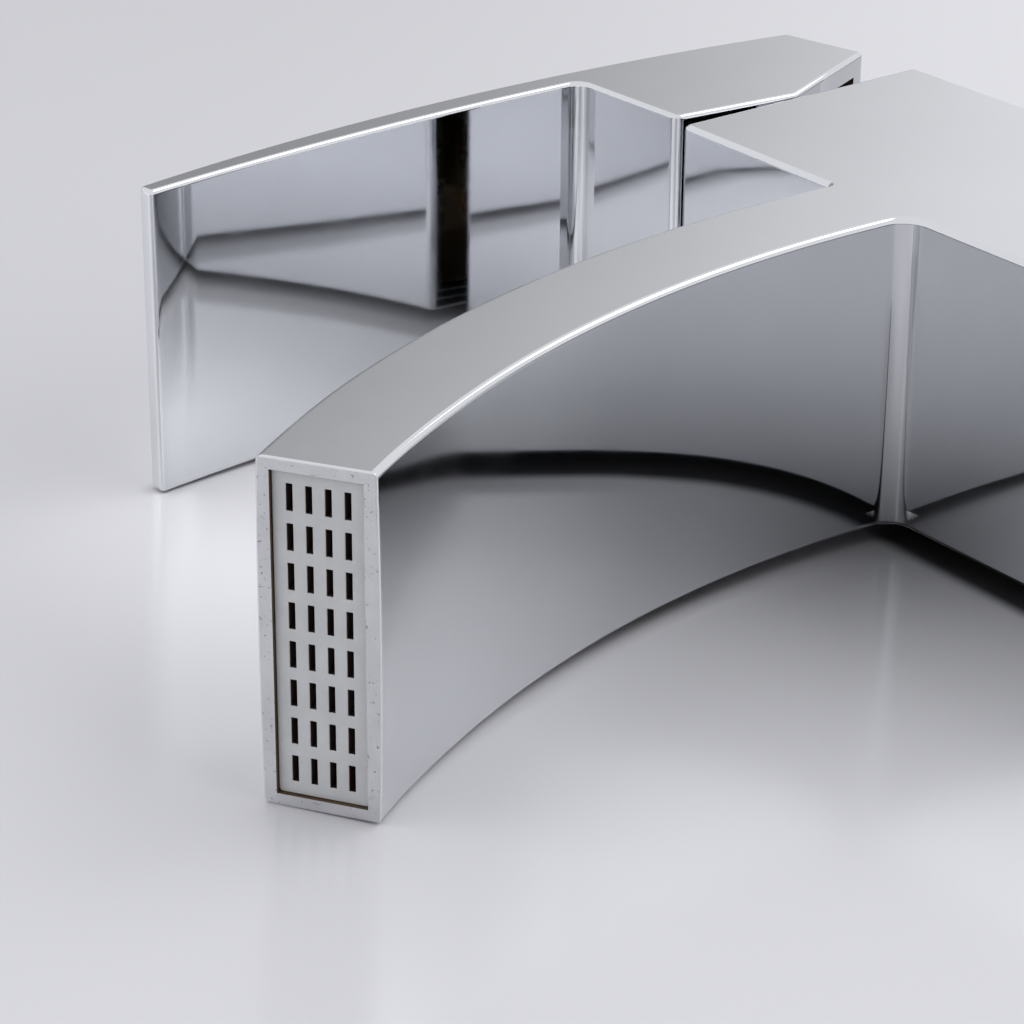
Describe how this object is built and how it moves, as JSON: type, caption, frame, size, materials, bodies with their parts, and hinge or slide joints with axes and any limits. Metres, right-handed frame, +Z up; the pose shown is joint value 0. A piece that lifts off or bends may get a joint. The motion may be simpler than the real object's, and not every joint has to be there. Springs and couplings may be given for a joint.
{
  "type": "waterfall basin faucet",
  "caption": "Basin faucet with a square column, a flat curved waterfall spout ending in a slotted grille, and a matching flat lever that tilts for flow and swivels to mix.",
  "frame": {"origin": "middle of the column's base, on the deck that the faucet stands on", "axes": "+Z up along the column, -Y the way the spout and the lever point, X across them"},
  "size_m": [0.045, 0.1581, 0.2313],
  "materials": {
    "chrome": "polished chrome plating on a brass casting",
    "brass": "satin machined brass",
    "steel": "zinc plated steel",
    "grey_plastic": "smooth light grey moulding",
    "white_plastic": "off-white moulding",
    "red_plastic": "brick red moulding",
    "ceramic": "lapped alumina",
    "rubber": "soft black rubber"
  },
  "bodies": {
    "faucet_body": {"body_casting": "chrome", "base_gasket": "rubber", "outlet_grille": "grey_plastic", "flow_screen": "steel", "outlet_seal": "rubber", "port_seals": "rubber", "cartridge_base": "white_plastic", "disc_seals": "rubber", "fixed_disc": "ceramic", "cartridge_housing": "white_plastic", "cartridge_nut": "brass", "fixing_stud": "steel", "deck_washer": "rubber", "clamp_plate": "steel", "fixing_nut": "brass"},
    "rotor": {"cartridge_rotor": "red_plastic", "spindle_pin": "steel"},
    "handle": {"cartridge_spindle": "brass", "handle": "chrome", "handle_set_screw": "steel", "screw_plug": "grey_plastic"},
    "valve_disc": {"moving_disc": "ceramic", "disc_carrier": "white_plastic"}
  },
  "joints": [
    {"name": "handle_swivel", "type": "hinge", "parent": "faucet_body", "child": "rotor", "pos_m": [0, 0, 0.134], "axis": [0, 0, 1], "range_deg": [-45, 45]},
    {"name": "handle_tilt", "type": "hinge", "parent": "rotor", "child": "handle", "pos_m": [0, 0, 0.134], "axis": [-1, 0, 0], "range_deg": [0, 20]},
    {"name": "disc_slide", "type": "slide", "parent": "rotor", "child": "valve_disc", "axis": [0, -1, 0], "range_m": [0, 0.0036]}
  ],
  "couplings": [
    {"joint": "disc_slide", "follows": "handle_tilt", "m_per_rad": 0.01}
  ]
}
